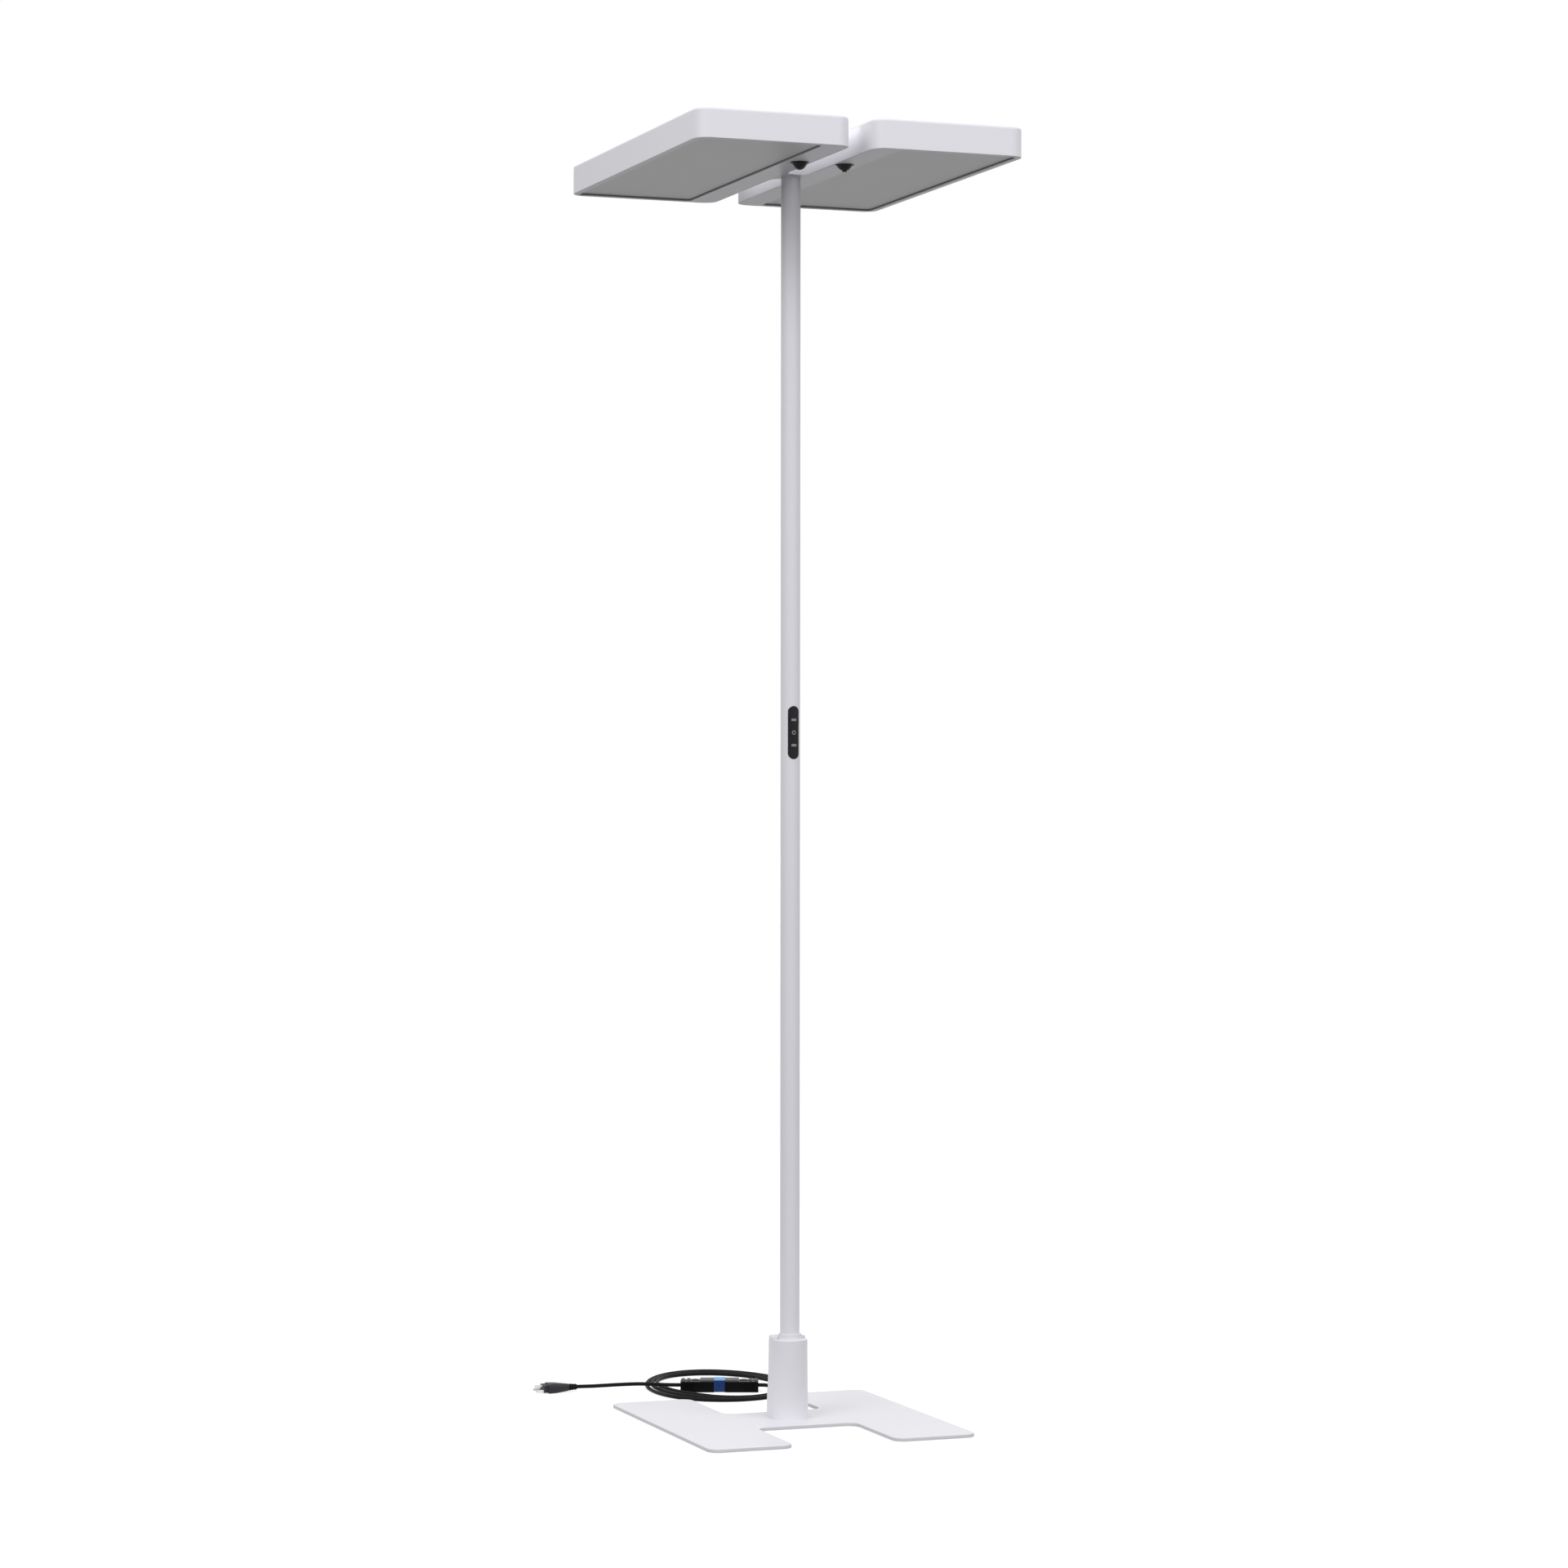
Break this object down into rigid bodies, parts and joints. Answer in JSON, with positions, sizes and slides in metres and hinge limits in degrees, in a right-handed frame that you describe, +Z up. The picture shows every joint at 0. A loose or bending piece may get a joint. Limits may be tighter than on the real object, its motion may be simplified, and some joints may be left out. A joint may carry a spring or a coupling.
{
  "type": "office floor lamp",
  "caption": "Free-standing office floor lamp: two flat heads on a slim column, H-shaped base plate, key panel, presence and daylight sensors, coiled mains cord.",
  "frame": {"origin": "on the floor under the middle of the column, which is the middle of the lamp's footprint", "axes": "+Z up along the column; -Y is the front, the side with the key panel and the sensors; +X is across the two heads, to the right as seen from the front"},
  "size_m": [0.5405, 0.8377, 1.95],
  "materials": {
    "white_paint": "fine satin powder coat, cool white",
    "opal": "satin opal acrylic, unlit",
    "clear_cover": "frosted prismatic acrylic",
    "tray_steel": "zinc-plated sheet and turned steel",
    "screw_steel": "zinc plated",
    "light_plastic": "moulded, pale",
    "board": "solder-masked board with emitters",
    "sensor_black": "smooth moulded lens, black",
    "panel_black": "black with pale grey key symbols",
    "black_plastic": "moulded, fine texture",
    "cord_black": "extruded sheath, satin",
    "plug_grey": "moulded dark grey",
    "blue_clip": "moulded blue",
    "pin_metal": "nickel plated",
    "rubber": "soft pad"
  },
  "bodies": {
    "root": {"base_plate": "white_paint", "foot_pads": "rubber", "flange_screws": "screw_steel", "column_spigot": "tray_steel", "column_set_screws": "screw_steel", "column_tube": "white_paint", "column_collar": "white_paint", "column_top_plug": "tray_steel", "column_cable": "light_plastic", "terminal_block": "light_plastic", "socket_front_shell": "white_paint", "rear_cover": "white_paint", "rear_cover_screws": "screw_steel", "bridge_block": "white_paint", "bridge_cover": "white_paint", "bridge_screws": "screw_steel", "left_housing": "white_paint", "right_housing": "white_paint", "left_diffuser": "opal", "right_diffuser": "opal", "left_uplight_cover": "clear_cover", "right_uplight_cover": "clear_cover", "left_gear_tray": "tray_steel", "right_gear_tray": "tray_steel", "left_tray_screws": "screw_steel", "right_tray_screws": "screw_steel", "left_down_boards": "board", "right_down_boards": "board", "left_up_board": "board", "right_up_board": "board", "left_driver": "light_plastic", "right_driver": "light_plastic", "left_sensor_lens": "sensor_black", "right_sensor_lens": "sensor_black", "left_sensor_body": "black_plastic", "right_sensor_body": "black_plastic", "panel_bezel": "panel_black", "key_mat": "light_plastic", "switch_board": "board", "panel_carrier": "black_plastic", "cord_gland": "cord_black", "cord_lead": "cord_black", "cord_coil": "cord_black", "cord_link": "cord_black", "cord_tail": "cord_black", "coupling_plug_half": "black_plastic", "coupling_socket_half": "black_plastic", "coupling_clip": "blue_clip", "plug_body": "plug_grey", "plug_relief": "cord_black", "plug_pins": "pin_metal"},
    "up_key": {"key_up": "panel_black"},
    "power_key": {"key_power": "panel_black"},
    "down_key": {"key_down": "panel_black"}
  },
  "joints": [
    {"name": "up_press", "type": "slide", "parent": "root", "child": "up_key", "axis": [0, 1, 0], "range_m": [0, 0.0006], "stiffness_N_per_m": 300},
    {"name": "power_press", "type": "slide", "parent": "root", "child": "power_key", "axis": [0, 1, 0], "range_m": [0, 0.0006], "stiffness_N_per_m": 300},
    {"name": "down_press", "type": "slide", "parent": "root", "child": "down_key", "axis": [0, 1, 0], "range_m": [0, 0.0006], "stiffness_N_per_m": 300}
  ]
}
